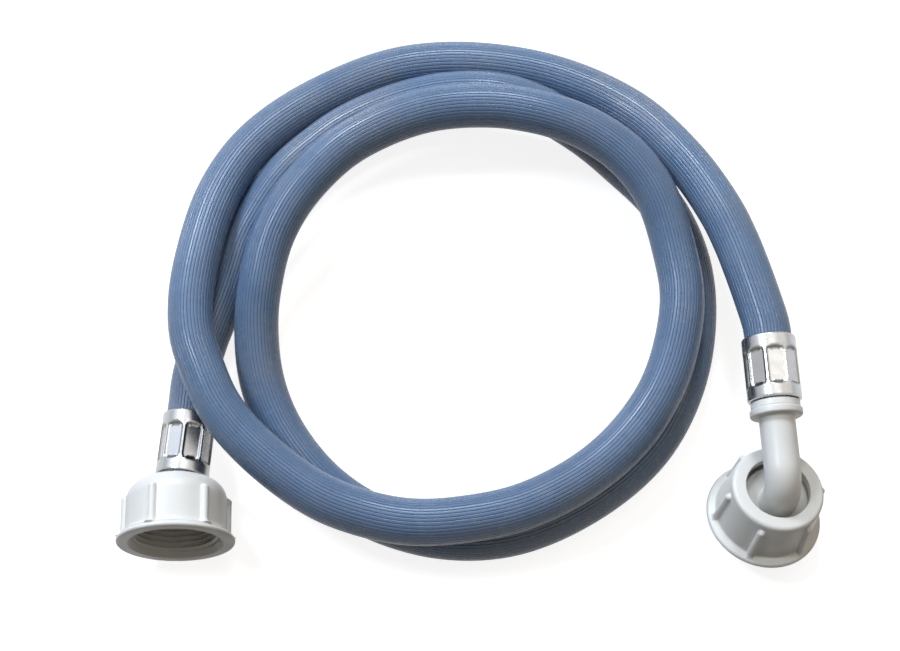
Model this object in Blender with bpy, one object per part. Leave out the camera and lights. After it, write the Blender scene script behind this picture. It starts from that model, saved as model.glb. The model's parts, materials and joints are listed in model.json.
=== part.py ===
"""A washing machine inlet hose, lying in a loose coil on the plane z = 0.

A long hose has a crimped ferrule at each end. One ferrule holds a straight tail, the other a
plastic elbow, and on each tail a ribbed union nut for a three-quarter inch tap thread turns
freely over a flat rubber washer. Lengths are in metres, +Z is up, and the origin lies midway
between the two ends.
"""
import math

import bmesh
import bpy
from mathutils import Matrix, Vector

# Clearance between pieces that touch
TOUCH_GAP = 0.0003

# Points round a turned piece, and steps along its curves
METAL_SIDES = 48
MOULDED_SIDES = 32
EDGE_STEPS = 3
SHARP_ANGLE = math.radians(35)

# Hose
HOSE_DIAMETER = 0.0148
HOSE_POINTS = 80
HOSE_BEVEL = 4
HOSE_LEAD = 0.003

# Crimped ferrules
FERRULE_WALL = 0.0008
FERRULE_LENGTH = 0.0205
FERRULE_SHOULDER = 0.0010
FERRULE_EDGE = 0.0007
CRIMPS = 8
CRIMP_WIDTH = 0.0058
CRIMP_LENGTH = 0.0134
CRIMP_FROM_RIM = 0.0034
CRIMP_ENDS = 0.0016
CRIMP_STEPS = 4

# What both tails share
TAIL_BORE = 0.0084
SPIGOT_DIAMETER = 0.0104
FLANGE_DIAMETER = 0.0228
FLANGE_THICKNESS = 0.0024
EDGE_ROUND = 0.0005

# Straight tail
NECK_DIAMETER = 0.0124
NECK_LENGTH = 0.0064

# Elbow tail
RING_DIAMETER = 0.0154
RING_LENGTH = 0.0013
COLLAR_DIAMETER = 0.0165
COLLAR_LENGTH = 0.0030
TUBE_DIAMETER = 0.0113
TUBE_RUN = 0.0245
TUBE_LEG = 0.0126
BEND_RADIUS = 0.0085
BEND_STEPS = 7

# Sealing washers
WASHER_THICKNESS = 0.0028
WASHER_HOLE = 0.0130

# What both union nuts share. The hollow clears the flange and the washer all round.
NUT_SLACK = 0.0019
NUT_CAVITY = FLANGE_DIAMETER + 2 * NUT_SLACK
NUT_LIP = 0.0025
NUT_WALL = 0.0025
NUT_BODY = NUT_CAVITY + 2 * NUT_WALL
NUT_FLANGE_REACH = 0.0027
NUT_FLANGE = NUT_BODY + 2 * NUT_FLANGE_REACH
NUT_FLANGE_THICKNESS = 0.0018
NUT_FLARE = 0.0022
NUT_FLARE_KNEE = 0.0013
NUT_MOUTH_CHAMFER = 0.0010

# The ribs on the nuts. A section gives places across a rib and its height there, in shares of
# half its width and of its full height, and the rows are where its round end has rings.
RIBS = 6
RIB_WIDTH = 0.0023
RIB_HEIGHT = 0.0014
RIB_SECTION = ((-1.0, 0.0), (-0.72, 0.75), (0.0, 1.0), (0.72, 0.75), (1.0, 0.0))
RIB_END_ROWS = (0.0, 0.12, 0.4, 1.0)
STEPS_BETWEEN_RIBS = 5

# Elbow's nut: a flat back, with a hole that the flange can't pass
ELBOW_NUT_HEIGHT = 0.0190
ELBOW_NUT_HOLD = 0.0012
ELBOW_NUT_HOLE = FLANGE_DIAMETER - 2 * ELBOW_NUT_HOLD
ELBOW_NUT_TAPER = 0.0011
ELBOW_NUT_BACK = NUT_BODY - 2 * ELBOW_NUT_TAPER
ELBOW_NUT_RIM_ROUND = 0.0012
ELBOW_NUT_RIB_START = 0.0027

# Straight tail's nut: a domed shoulder, with a hole that clears the neck
STRAIGHT_NUT_HEIGHT = 0.0205
STRAIGHT_NUT_PLAY = 0.0021
STRAIGHT_NUT_HOLE = NECK_DIAMETER + 2 * STRAIGHT_NUT_PLAY
STRAIGHT_NUT_DOME = 0.0068
STRAIGHT_NUT_DOME_STEPS = 7
STRAIGHT_NUT_RIB_START = 0.0052

# Where the ends lie, from the middle of the coil. A ferrule's rim is where the hose enters it,
# yaw turns it from -Y towards +X and rise lifts it.
COIL_CENTRE = Vector((-0.0072, 0.0448, 0.0))
ELBOW_RIM = Vector((0.1002, -0.0101, 0.0291))
ELBOW_YAW = math.radians(3.2)
ELBOW_RISE = math.radians(1.9)
ELBOW_ROLL = math.radians(-2.0)
STRAIGHT_RIM = Vector((-0.0836, -0.0314, 0.0113))
STRAIGHT_YAW = math.radians(-4.2)
STRAIGHT_RISE = math.radians(7.35)

# How each loose nut hangs on its tail: from the back of the flange to the back of the nut, and
# the way its mouth faces
ELBOW_NUT_SLIP = Vector((-0.0003, 0.0033, 0.0057))
ELBOW_NUT_YAW = math.radians(-21.1)
ELBOW_NUT_RISE = math.radians(-70.3)
ELBOW_NUT_TURN = math.radians(32.0)
STRAIGHT_NUT_SLIP = Vector((-0.0007, 0.0051, 0.0002))
STRAIGHT_NUT_YAW = math.radians(2.1)
STRAIGHT_NUT_RISE = math.radians(9.6)
STRAIGHT_NUT_TURN = math.radians(49.5)

# The route of the hose's centreline from the elbow's end to the straight end, chosen by hand,
# from the middle of the coil
ROUTE = (
    # from the elbow up the right side, and down to the surface at the far side
    (0.0977, 0.0030, 0.0283), (0.0950, 0.0130, 0.0272), (0.0919, 0.0235, 0.0255),
    (0.0875, 0.0350, 0.0232), (0.0770, 0.0540, 0.0180),
    (0.0605, 0.0735, 0.0115), (0.0345, 0.0875, 0.0080), (0.0040, 0.0925, 0.0075),
    (-0.0220, 0.0895, 0.0075), (-0.0475, 0.0785, 0.0080), (-0.0655, 0.0620, 0.0110),
    # down the left side, over the last turn
    (-0.0760, 0.0435, 0.0150), (-0.0815, 0.0205, 0.0200), (-0.0830, 0.0045, 0.0225),
    (-0.0818, -0.0080, 0.0240), (-0.0785, -0.0176, 0.0245), (-0.0725, -0.0305, 0.0245),
    # along the near side and up the right, on top of the next turn
    (-0.0610, -0.0440, 0.0240), (-0.0435, -0.0575, 0.0235), (-0.0315, -0.0630, 0.0230),
    (-0.0140, -0.0670, 0.0230), (0.0035, -0.0665, 0.0230), (0.0240, -0.0620, 0.0230),
    (0.0445, -0.0510, 0.0230), (0.0590, -0.0370, 0.0230), (0.0690, -0.0195, 0.0230),
    (0.0740, 0.0040, 0.0235), (0.0710, 0.0230, 0.0245), (0.0640, 0.0395, 0.0270),
    # round the far side, innermost and highest
    (0.0525, 0.0525, 0.0290), (0.0365, 0.0625, 0.0305), (0.0165, 0.0690, 0.0300),
    (-0.0065, 0.0685, 0.0290), (-0.0295, 0.0585, 0.0270), (-0.0475, 0.0430, 0.0240),
    # down the left side and under the turn before
    (-0.0570, 0.0275, 0.0210), (-0.0610, 0.0105, 0.0180), (-0.0620, -0.0035, 0.0140),
    (-0.0600, -0.0195, 0.0105), (-0.0530, -0.0355, 0.0085), (-0.0395, -0.0520, 0.0075),
    # along the near side and up the right, on the surface
    (-0.0240, -0.0625, 0.0075), (-0.0020, -0.0690, 0.0075), (0.0205, -0.0680, 0.0075),
    (0.0445, -0.0575, 0.0075), (0.0640, -0.0410, 0.0075), (0.0755, -0.0200, 0.0075),
    (0.0800, 0.0030, 0.0075), (0.0785, 0.0225, 0.0075), (0.0705, 0.0410, 0.0080),
    # round the far side, over the first turn and under the second
    (0.0570, 0.0550, 0.0095), (0.0430, 0.0660, 0.0125), (0.0290, 0.0735, 0.0155),
    (0.0150, 0.0775, 0.0165), (-0.0065, 0.0775, 0.0145), (-0.0330, 0.0685, 0.0120),
    (-0.0500, 0.0555, 0.0100),
    # down the left side to the straight end
    (-0.0620, 0.0380, 0.0085), (-0.0695, 0.0255, 0.0075), (-0.0750, 0.0085, 0.0075),
    (-0.0800, -0.0055, 0.0075), (-0.0826, -0.0175, 0.0095),
)


def clear_scene():
    for item in list(bpy.data.objects):
        bpy.data.objects.remove(item, do_unlink=True)


def material(name, colour, roughness, metallic=0.0):
    """A plain Principled material."""
    made = bpy.data.materials.new(name)
    made.use_nodes = True
    shader = made.node_tree.nodes["Principled BSDF"]
    shader.inputs["Base Color"].default_value = (*colour, 1.0)
    shader.inputs["Roughness"].default_value = roughness
    shader.inputs["Metallic"].default_value = metallic
    return made


def heading(yaw, rise):
    """The way something points, turned from -Y towards +X by yaw and lifted by rise."""
    return Vector((math.sin(yaw) * math.cos(rise), -math.cos(yaw) * math.cos(rise), math.sin(rise)))


def placing(at, along, top, turn=0.0):
    """A matrix that puts local +Z along a direction, with local +Y as near to top as it can be."""
    up = (top - along * top.dot(along)).normalized()
    side = up.cross(along)
    turned_frame = Matrix((side, up, along)).transposed().to_4x4() @ Matrix.Rotation(turn, 4, "Z")
    return Matrix.Translation(at) @ turned_frame


def straight_axis(distance):
    return Matrix.Translation((0.0, 0.0, distance))


def bent_axis(distance, run):
    """The place on an axis that runs along +Z and then turns square, towards local -Y."""
    arc = BEND_RADIUS * math.pi / 2
    into = min(max(distance - run, 0.0), arc)
    straight = distance - run - into
    to_pivot = Matrix.Translation((0.0, -BEND_RADIUS, run))
    swing = Matrix.Rotation(into / BEND_RADIUS, 4, "X")
    from_pivot = Matrix.Translation((0.0, BEND_RADIUS, straight))
    return to_pivot @ swing @ from_pivot


def circle(frame, radius, sides=MOULDED_SIDES):
    """A ring of points round a place on an axis."""
    angles = [2 * math.pi * step / sides for step in range(sides)]
    return [frame @ Vector((radius * math.cos(a), radius * math.sin(a), 0.0)) for a in angles]


def ring_solid(name, rings, surface, matrix):
    """A closed solid whose skin joins each ring of points to the next, and the last to the first."""
    shape = bmesh.new()
    loops = [[shape.verts.new(point) for point in ring] for ring in rings]
    for row, loop in enumerate(loops):
        following = loops[(row + 1) % len(loops)]
        for column in range(len(loop)):
            after = (column + 1) % len(loop)
            shape.faces.new((loop[column], loop[after], following[after], following[column]))
    bmesh.ops.recalc_face_normals(shape, faces=shape.faces)
    mesh = bpy.data.meshes.new(name)
    shape.to_mesh(mesh)
    shape.free()
    mesh.shade_smooth()
    mesh.set_sharp_from_angle(angle=SHARP_ANGLE)
    mesh.materials.append(surface)
    made = bpy.data.objects.new(name, mesh)
    made.matrix_world = matrix
    bpy.context.collection.objects.link(made)
    return made


def rounded_edge(distance, radius, size, start):
    """A quarter of a circle in a profile, whose corner lies at (distance, radius).

    start is "face" for an edge met from a flat face that points back, and "side" for one met
    from the outer side that leads to a face that points forward.
    """
    points = []
    for step in range(EDGE_STEPS + 1):
        angle = step / EDGE_STEPS * math.pi / 2
        in_from_corner = size * (1 - math.sin(angle))
        along = in_from_corner if start == "face" else -in_from_corner
        points.append((distance + along, radius - size * (1 - math.cos(angle))))
    return points[::-1] if start == "face" else points


def smooth_curve(points, per_span=24):
    """A centripetal Catmull-Rom curve from the second point to the last but one, as a polyline.

    The two outer points only give it its direction at its ends.
    """
    fine = []
    for first, second, third, fourth in zip(points, points[1:], points[2:], points[3:]):
        knots = [0.0]
        for here, there in ((first, second), (second, third), (third, fourth)):
            knots.append(knots[-1] + math.sqrt((there - here).length))
        for step in range(per_span):
            t = knots[1] + (knots[2] - knots[1]) * step / per_span
            a = first.lerp(second, t / knots[1])
            b = second.lerp(third, (t - knots[1]) / (knots[2] - knots[1]))
            c = third.lerp(fourth, (t - knots[2]) / (knots[3] - knots[2]))
            d = a.lerp(b, t / knots[2])
            e = b.lerp(c, (t - knots[1]) / (knots[3] - knots[1]))
            fine.append(d.lerp(e, (t - knots[1]) / (knots[2] - knots[1])))
    return [*fine, points[-2]]


def evenly_spaced(line, count):
    """As many points as asked for, at equal distances along a polyline."""
    marks = [0.0]
    for here, there in zip(line, line[1:]):
        marks.append(marks[-1] + (there - here).length)
    chosen = []
    span = 0
    for step in range(count):
        target = marks[-1] * step / (count - 1)
        while span < len(line) - 2 and marks[span + 1] < target:
            span += 1
        part = (target - marks[span]) / (marks[span + 1] - marks[span])
        chosen.append(line[span].lerp(line[span + 1], min(part, 1.0)))
    return chosen


def hose(elbow_end, straight_end, surface):
    """The hose: a round tube that ends at the shoulders inside the ferrules, straight in each."""
    depth = FERRULE_LENGTH - FERRULE_SHOULDER - TOUCH_GAP

    def lead(matrix):
        return [matrix @ Vector((0.0, 0.0, z)) for z in (depth, -HOSE_LEAD)]

    chosen = [Vector(point) + COIL_CENTRE for point in ROUTE]
    through = lead(elbow_end) + chosen + lead(straight_end)[::-1]
    points = [through[0], *evenly_spaced(smooth_curve(through), HOSE_POINTS - 2), through[-1]]
    curve = bpy.data.curves.new("hose", "CURVE")
    curve.dimensions = "3D"
    curve.bevel_depth = HOSE_DIAMETER / 2
    curve.bevel_resolution = HOSE_BEVEL
    curve.use_fill_caps = True
    line = curve.splines.new("POLY")
    line.points.add(len(points) - 1)
    for slot, point in zip(line.points, points):
        resting = max(point.z, HOSE_DIAMETER / 2)
        slot.co = (point.x, point.y, resting, 1.0)
    curve.materials.append(surface)
    made = bpy.data.objects.new("hose", curve)
    bpy.context.collection.objects.link(made)


def ferrule(name, matrix, surface):
    """A thin metal shell crimped onto the hose by eight flat presses, with a shoulder at its end."""
    inner = HOSE_DIAMETER / 2 + TOUCH_GAP
    outer = inner + FERRULE_WALL
    hole = SPIGOT_DIAMETER / 2 + TOUCH_GAP
    flat = math.sqrt(outer ** 2 - (CRIMP_WIDTH / 2) ** 2)
    pitch = 2 * math.pi / CRIMPS

    def pressed(distance):
        """How far the presses have sunk in here, from 0 at a crimp's ends to 1 along it."""
        from_end = min(distance - CRIMP_FROM_RIM, CRIMP_FROM_RIM + CRIMP_LENGTH - distance)
        share = min(max(from_end / CRIMP_ENDS, 0.0), 1.0)
        return math.sin(share * math.pi / 2)

    def outline(distance, radius):
        ring = []
        for step in range(METAL_SIDES):
            angle = 2 * math.pi * step / METAL_SIDES
            across = (angle + pitch / 2) % pitch - pitch / 2
            sunk = min(flat / math.cos(across), radius)
            reach = radius + (sunk - radius) * pressed(distance)
            ring.append(Vector((reach * math.cos(angle), reach * math.sin(angle), distance)))
        return ring

    crimp_end = CRIMP_FROM_RIM + CRIMP_LENGTH
    sinking = [CRIMP_ENDS * row / CRIMP_STEPS for row in range(CRIMP_STEPS + 1)]
    entering = [CRIMP_FROM_RIM + into for into in sinking]
    leaving = [crimp_end - into for into in reversed(sinking)]
    shoulder = FERRULE_LENGTH - FERRULE_SHOULDER
    rim = rounded_edge(0.0, outer, FERRULE_EDGE, "face")
    end = rounded_edge(FERRULE_LENGTH, outer, FERRULE_EDGE, "side")
    inside = [(FERRULE_LENGTH, hole), (shoulder, hole), (shoulder, inner), (0.0, inner)]
    rings = [circle(straight_axis(z), r, METAL_SIDES) for z, r in rim]
    rings += [outline(z, outer) for z in entering + leaving]
    rings += [circle(straight_axis(z), r, METAL_SIDES) for z, r in end + inside]
    ring_solid(name, rings, surface, matrix)


def flange_profile(start):
    """The round flange that the nut pulls on, from its back to the bore."""
    end = start + FLANGE_THICKNESS
    rim = FLANGE_DIAMETER / 2
    back_edge = rounded_edge(start, rim, EDGE_ROUND, "face")
    front_edge = rounded_edge(end, rim, EDGE_ROUND, "side")
    return [*back_edge, *front_edge, (end, TAIL_BORE / 2)]


def straight_tail(matrix, surface):
    """The straight tail: a spigot through the ferrule's shoulder, a neck and a sealing flange."""
    spigot = FERRULE_LENGTH - FERRULE_SHOULDER
    neck = FERRULE_LENGTH + TOUCH_GAP
    flange = neck + NECK_LENGTH
    profile = [(spigot, TAIL_BORE / 2), (spigot, SPIGOT_DIAMETER / 2), (neck, SPIGOT_DIAMETER / 2),
               (neck, NECK_DIAMETER / 2), (flange, NECK_DIAMETER / 2), *flange_profile(flange)]
    rings = [circle(straight_axis(z), r) for z, r in profile]
    ring_solid("straight_tail", rings, surface, matrix)
    return matrix @ straight_axis(flange)


def elbow_tail(matrix, surface):
    """The elbow: a spigot, ring and collar at the ferrule, a tube with a square bend, a flange."""
    spigot = FERRULE_LENGTH - FERRULE_SHOULDER
    ring = FERRULE_LENGTH + TOUCH_GAP
    collar = ring + RING_LENGTH
    tube = collar + COLLAR_LENGTH
    bend = tube + TUBE_RUN - BEND_RADIUS
    arc = BEND_RADIUS * math.pi / 2
    flange = bend + arc + TUBE_LEG - BEND_RADIUS
    turn = [bend + arc * step / BEND_STEPS for step in range(BEND_STEPS + 1)]
    profile = [(spigot, TAIL_BORE / 2), (spigot, SPIGOT_DIAMETER / 2), (ring, SPIGOT_DIAMETER / 2),
               (ring, RING_DIAMETER / 2), (collar, RING_DIAMETER / 2)]
    profile += rounded_edge(collar, COLLAR_DIAMETER / 2, EDGE_ROUND, "face")
    profile += rounded_edge(tube, COLLAR_DIAMETER / 2, EDGE_ROUND, "side")
    profile += [(tube, TUBE_DIAMETER / 2)]
    profile += [(distance, TUBE_DIAMETER / 2) for distance in turn]
    profile += [(flange, TUBE_DIAMETER / 2), *flange_profile(flange)]
    profile += [(distance, TAIL_BORE / 2) for distance in reversed(turn)]
    rings = [circle(bent_axis(distance, bend), radius) for distance, radius in profile]
    ring_solid("elbow_tail", rings, surface, matrix)
    return matrix @ bent_axis(flange, bend)


def washer(name, flange, surface):
    """A flat rubber ring that seals against the flange."""
    start = FLANGE_THICKNESS + TOUCH_GAP
    end = start + WASHER_THICKNESS
    rim = FLANGE_DIAMETER / 2
    profile = ((start, WASHER_HOLE / 2), (start, rim), (end, rim), (end, WASHER_HOLE / 2))
    rings = [circle(straight_axis(z), r) for z, r in profile]
    ring_solid(name, rings, surface, flange)


def nut_angles():
    """Angles round a nut, each with how much of a rib's height stands there."""
    half = RIB_WIDTH / NUT_BODY
    pitch = 2 * math.pi / RIBS
    gap = pitch - 2 * half
    between = [half + gap * step / STEPS_BETWEEN_RIBS for step in range(1, STEPS_BETWEEN_RIBS)]
    angles = []
    for rib in range(RIBS):
        middle = rib * pitch
        angles += [(middle + half * side, height) for side, height in RIB_SECTION]
        angles += [(middle + angle, 0.0) for angle in between]
    return angles


def nut_body(height):
    """A nut's side from below its shoulder to its mouth, with the flange and the threaded hollow."""
    flange = height - NUT_FLANGE_THICKNESS
    flare = flange - NUT_FLARE
    rim = NUT_FLANGE / 2
    mouth = NUT_CAVITY / 2 + NUT_MOUTH_CHAMFER
    half_out = (NUT_BODY / 2 + rim) / 2
    outside = [(flare, NUT_BODY / 2), (flare + NUT_FLARE_KNEE, half_out),
               (flange, rim - EDGE_ROUND), (flange + EDGE_ROUND, rim)]
    outside += rounded_edge(height, rim, EDGE_ROUND * 2, "side")
    hollow = [(height, mouth), (height - NUT_MOUTH_CHAMFER, NUT_CAVITY / 2), (NUT_LIP, NUT_CAVITY / 2)]
    return flare, outside, hollow


def rib_rows(rib_start):
    """Where the rings of a rib's round end lie."""
    return [rib_start + RIB_WIDTH / 2 * share for share in RIB_END_ROWS]


def nut(name, profile, rib_start, rib_end, surface, matrix):
    """A ring of a nut's profile, its ribs raised between two heights with a round end at the back."""
    angles = nut_angles()
    dome = RIB_WIDTH / 2

    def rib_height(distance):
        into = (distance - rib_start) / dome
        if into <= 0.0 or distance > rib_end:
            return 0.0
        return RIB_HEIGHT * math.sqrt(1.0 - (1.0 - min(into, 1.0)) ** 2)

    rings = []
    for distance, radius, ribbed in profile:
        lift = rib_height(distance) if ribbed else 0.0
        rings.append([Vector(((radius + lift * share) * math.cos(a), (radius + lift * share) * math.sin(a),
                              distance)) for a, share in angles])
    ring_solid(name, rings, surface, matrix)


def elbow_nut(flange, surface):
    """The elbow's nut, with a flat back and a hole wide enough to pass over the bend."""
    hole = ELBOW_NUT_HOLE / 2
    back = ELBOW_NUT_BACK / 2
    flare, outside, hollow = nut_body(ELBOW_NUT_HEIGHT)
    taper_from = ELBOW_NUT_RIM_ROUND

    def side(distance):
        share = (distance - taper_from) / (flare - taper_from)
        return back + (NUT_BODY / 2 - back) * share

    profile = [(0.0, hole, False)]
    profile += [(z, r, False) for z, r in rounded_edge(0.0, back, ELBOW_NUT_RIM_ROUND, "face")]
    profile += [(z, side(z), True) for z in rib_rows(ELBOW_NUT_RIB_START)]
    profile += [(z, r, z <= flare) for z, r in outside]
    profile += [(z, r, False) for z, r in hollow]
    profile += [(NUT_LIP, hole, False)]
    axis = heading(ELBOW_NUT_YAW, ELBOW_NUT_RISE)
    matrix = placing(flange.translation + ELBOW_NUT_SLIP, axis, Vector((0.0, 0.0, 1.0)), ELBOW_NUT_TURN)
    nut("elbow_nut", profile, ELBOW_NUT_RIB_START, flare, surface, matrix)


def straight_nut(flange, surface):
    """The straight tail's nut, with a shoulder that swells from the neck to the body in a dome."""
    hole = STRAIGHT_NUT_HOLE / 2
    flare, outside, hollow = nut_body(STRAIGHT_NUT_HEIGHT)
    crown = hole + EDGE_ROUND
    profile = [(0.0, hole, False), (0.0, crown, False)]
    for step in range(1, STRAIGHT_NUT_DOME_STEPS + 1):
        angle = step / STRAIGHT_NUT_DOME_STEPS * math.pi / 2
        swell = crown + (NUT_BODY / 2 - crown) * math.sin(angle)
        profile.append((STRAIGHT_NUT_DOME * (1 - math.cos(angle)), swell, True))
    below_dome = [z for z in rib_rows(STRAIGHT_NUT_RIB_START) if z > STRAIGHT_NUT_DOME]
    profile += [(z, NUT_BODY / 2, True) for z in below_dome]
    profile += [(z, r, z <= flare) for z, r in outside]
    profile += [(z, r, False) for z, r in hollow]
    profile += [(NUT_LIP, hole, False)]
    axis = heading(STRAIGHT_NUT_YAW, STRAIGHT_NUT_RISE)
    matrix = placing(flange.translation + STRAIGHT_NUT_SLIP, axis, Vector((0.0, 0.0, 1.0)), STRAIGHT_NUT_TURN)
    nut("straight_nut", profile, STRAIGHT_NUT_RIB_START, flare, surface, matrix)


def build():
    clear_scene()
    rubber = material("blue_grey_rubber", (0.12, 0.17, 0.27), 0.5)
    metal = material("bright_zinc", (0.75, 0.76, 0.77), 0.22, 1.0)
    plastic = material("pale_grey_plastic", (0.72, 0.74, 0.73), 0.4)
    seal = material("dark_seal_rubber", (0.03, 0.03, 0.03), 0.7)

    elbow_way = heading(ELBOW_YAW, ELBOW_RISE)
    upward = Matrix.Rotation(ELBOW_ROLL, 3, elbow_way) @ Vector((0.0, 0.0, 1.0))
    elbow_end = placing(COIL_CENTRE + ELBOW_RIM, elbow_way, upward)
    straight_way = heading(STRAIGHT_YAW, STRAIGHT_RISE)
    straight_end = placing(COIL_CENTRE + STRAIGHT_RIM, straight_way, Vector((0.0, 0.0, 1.0)))

    hose(elbow_end, straight_end, rubber)
    ferrule("elbow_ferrule", elbow_end, metal)
    ferrule("straight_ferrule", straight_end, metal)
    elbow_flange = elbow_tail(elbow_end, plastic)
    straight_flange = straight_tail(straight_end, plastic)
    washer("elbow_washer", elbow_flange, seal)
    washer("straight_washer", straight_flange, seal)
    elbow_nut(elbow_flange, plastic)
    straight_nut(straight_flange, plastic)


build()
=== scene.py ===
"""A washing machine inlet hose, lying in a loose coil on a pale floor.

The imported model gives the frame. The pieces below stand in the places of its nodes, in metres,
with +Z up, and ride on its bodies.
"""
import json
import math

import bpy
from mathutils import Matrix, Vector


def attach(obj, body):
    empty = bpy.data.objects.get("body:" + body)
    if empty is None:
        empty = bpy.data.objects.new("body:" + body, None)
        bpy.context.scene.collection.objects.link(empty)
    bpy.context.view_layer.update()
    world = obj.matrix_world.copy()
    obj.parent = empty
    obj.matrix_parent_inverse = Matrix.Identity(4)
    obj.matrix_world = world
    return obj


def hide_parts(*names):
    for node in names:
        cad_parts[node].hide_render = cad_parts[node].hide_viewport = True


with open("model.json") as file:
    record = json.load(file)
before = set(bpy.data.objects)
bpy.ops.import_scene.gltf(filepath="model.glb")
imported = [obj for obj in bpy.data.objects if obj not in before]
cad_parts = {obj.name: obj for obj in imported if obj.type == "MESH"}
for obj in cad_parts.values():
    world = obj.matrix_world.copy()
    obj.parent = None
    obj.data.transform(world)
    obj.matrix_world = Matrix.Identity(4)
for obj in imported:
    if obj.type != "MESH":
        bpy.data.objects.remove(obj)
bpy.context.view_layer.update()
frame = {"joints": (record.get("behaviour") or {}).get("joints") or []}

# Camera
# A short telephoto view from above the coil, leaning 15 degrees back from straight down, so that
# the near ends look a little larger than the far side.
COIL_CENTRE = Vector((-0.0072, 0.0448, 0.0))
LEAN = math.radians(15.0)
EYE_DISTANCE = 0.600
AIM_HEIGHT = 0.0075
SENSOR_WIDTH_MM = 36.0
LENS_MM = 73.2
NEAR_CLIP = 0.01

camera = bpy.data.cameras.new("camera")
camera.sensor_width = SENSOR_WIDTH_MM
camera.lens = LENS_MM
camera.clip_start = NEAR_CLIP
camera_object = bpy.data.objects.new("camera", camera)
camera_object.rotation_euler = (LEAN, 0.0, 0.0)
camera_object.location = COIL_CENTRE + Vector((0.0, 0.0, AIM_HEIGHT)) + EYE_DISTANCE * Vector(
    (0.0, -math.sin(LEAN), math.cos(LEAN)))
bpy.context.collection.objects.link(camera_object)
bpy.context.scene.camera = camera_object

# Hose
# A pressure hose with a skin of slate blue soft PVC. The die it was extruded through leaves fine
# flutes along it, and in each bend its inner side draws in a little.
HOSE_DIAMETER = 0.0148
HOSE_LEAD = 0.003
HOSE_IN_FERRULE = 0.0192
FLUTES = 40
FLUTE_SHAPE = ((0.0, 0.00015), (0.12, 0.00002), (0.26, 0.0), (0.74, 0.0), (0.88, 0.00002))
RING_SPACING = 0.0030
CURVE_STEPS = 24

ELBOW_RIM = COIL_CENTRE + Vector((0.1002, -0.0101, 0.0291))
ELBOW_YAW = math.radians(3.2)
ELBOW_RISE = math.radians(1.9)
ELBOW_ROLL = math.radians(-2.0)
STRAIGHT_RIM = COIL_CENTRE + Vector((-0.0836, -0.0314, 0.0113))
STRAIGHT_YAW = math.radians(-4.2)
STRAIGHT_RISE = math.radians(7.35)

ROUTE = (
    # from the elbow up the right side, and down to the surface at the far side
    (0.0977, 0.0030, 0.0283), (0.0950, 0.0130, 0.0272), (0.0919, 0.0235, 0.0255),
    (0.0875, 0.0350, 0.0232), (0.0770, 0.0540, 0.0180),
    (0.0605, 0.0735, 0.0115), (0.0345, 0.0875, 0.0080), (0.0040, 0.0925, 0.0075),
    (-0.0220, 0.0895, 0.0075), (-0.0475, 0.0785, 0.0080), (-0.0655, 0.0620, 0.0110),
    # down the left side, over the last turn
    (-0.0760, 0.0435, 0.0150), (-0.0815, 0.0205, 0.0200), (-0.0830, 0.0045, 0.0225),
    (-0.0818, -0.0080, 0.0240), (-0.0785, -0.0176, 0.0245), (-0.0725, -0.0305, 0.0245),
    # along the near side and up the right, on top of the next turn
    (-0.0610, -0.0440, 0.0240), (-0.0435, -0.0575, 0.0235), (-0.0315, -0.0630, 0.0230),
    (-0.0140, -0.0670, 0.0230), (0.0035, -0.0665, 0.0230), (0.0240, -0.0620, 0.0230),
    (0.0445, -0.0510, 0.0230), (0.0590, -0.0370, 0.0230), (0.0690, -0.0195, 0.0230),
    (0.0740, 0.0040, 0.0235), (0.0710, 0.0230, 0.0245), (0.0640, 0.0395, 0.0270),
    # round the far side, innermost and highest
    (0.0525, 0.0525, 0.0290), (0.0365, 0.0625, 0.0305), (0.0165, 0.0690, 0.0300),
    (-0.0065, 0.0685, 0.0290), (-0.0295, 0.0585, 0.0270), (-0.0475, 0.0430, 0.0240),
    # down the left side and under the turn before
    (-0.0570, 0.0275, 0.0210), (-0.0610, 0.0105, 0.0180), (-0.0620, -0.0035, 0.0140),
    (-0.0600, -0.0195, 0.0105), (-0.0530, -0.0355, 0.0085), (-0.0395, -0.0520, 0.0075),
    # along the near side and up the right, on the surface
    (-0.0240, -0.0625, 0.0075), (-0.0020, -0.0690, 0.0075), (0.0205, -0.0680, 0.0075),
    (0.0445, -0.0575, 0.0075), (0.0640, -0.0410, 0.0075), (0.0755, -0.0200, 0.0075),
    (0.0800, 0.0030, 0.0075), (0.0785, 0.0225, 0.0075), (0.0705, 0.0410, 0.0080),
    # round the far side, over the first turn and under the second
    (0.0570, 0.0550, 0.0095), (0.0430, 0.0660, 0.0125), (0.0290, 0.0735, 0.0155),
    (0.0150, 0.0775, 0.0165), (-0.0065, 0.0775, 0.0145), (-0.0330, 0.0685, 0.0120),
    (-0.0500, 0.0555, 0.0100),
    # down the left side to the straight end
    (-0.0620, 0.0380, 0.0085), (-0.0695, 0.0255, 0.0075), (-0.0750, 0.0085, 0.0075),
    (-0.0800, -0.0055, 0.0075), (-0.0826, -0.0175, 0.0095),
)
# The turns have settled a little off that route: where along the hose, how far outwards, and over
# what length to each side.
SETTLED = ((0.227, -0.0010, 0.035), (0.602, 0.0020, 0.040), (0.662, -0.0017, 0.045),
           (0.815, 0.0008, 0.100), (1.187, 0.0018, 0.028))
# A bend tighter than the free radius narrows the hose, and that spreads over a length each way.
FREE_BEND_RADIUS = 0.072
NARROWING_PER_BEND = 0.020
NARROWING_REACH = 0.040
BEND_SPAN = 4


def heading(yaw, rise):
    """The way something points, turned from -Y towards +X by yaw and lifted by rise."""
    return Vector((math.sin(yaw) * math.cos(rise), -math.cos(yaw) * math.cos(rise), math.sin(rise)))


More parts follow.
